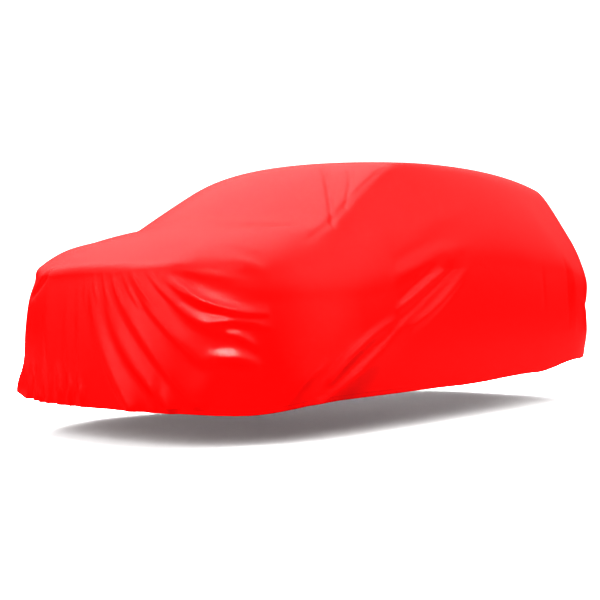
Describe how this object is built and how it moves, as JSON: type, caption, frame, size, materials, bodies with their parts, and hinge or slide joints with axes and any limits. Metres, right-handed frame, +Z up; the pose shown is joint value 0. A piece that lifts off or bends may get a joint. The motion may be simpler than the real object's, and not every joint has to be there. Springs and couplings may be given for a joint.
{
  "type": "car cover",
  "caption": "Fitted stretch cloth cover in the shape of a compact sport utility vehicle, hollow and open below, with soft folds and an elastic hem.",
  "frame": {"origin": "under the middle of the roof, where the covered vehicle's roof carries the cloth", "axes": "+X towards the vehicle's tail, +Y towards its right-hand side (the picture's far side), +Z up"},
  "size_m": [4.4968, 2.0285, 1.524],
  "materials": {
    "red_satin": "smooth stretch satin with a soft gloss"
  },
  "bodies": {
    "root": {"cover_cloth": "red_satin"}
  },
  "joints": []
}
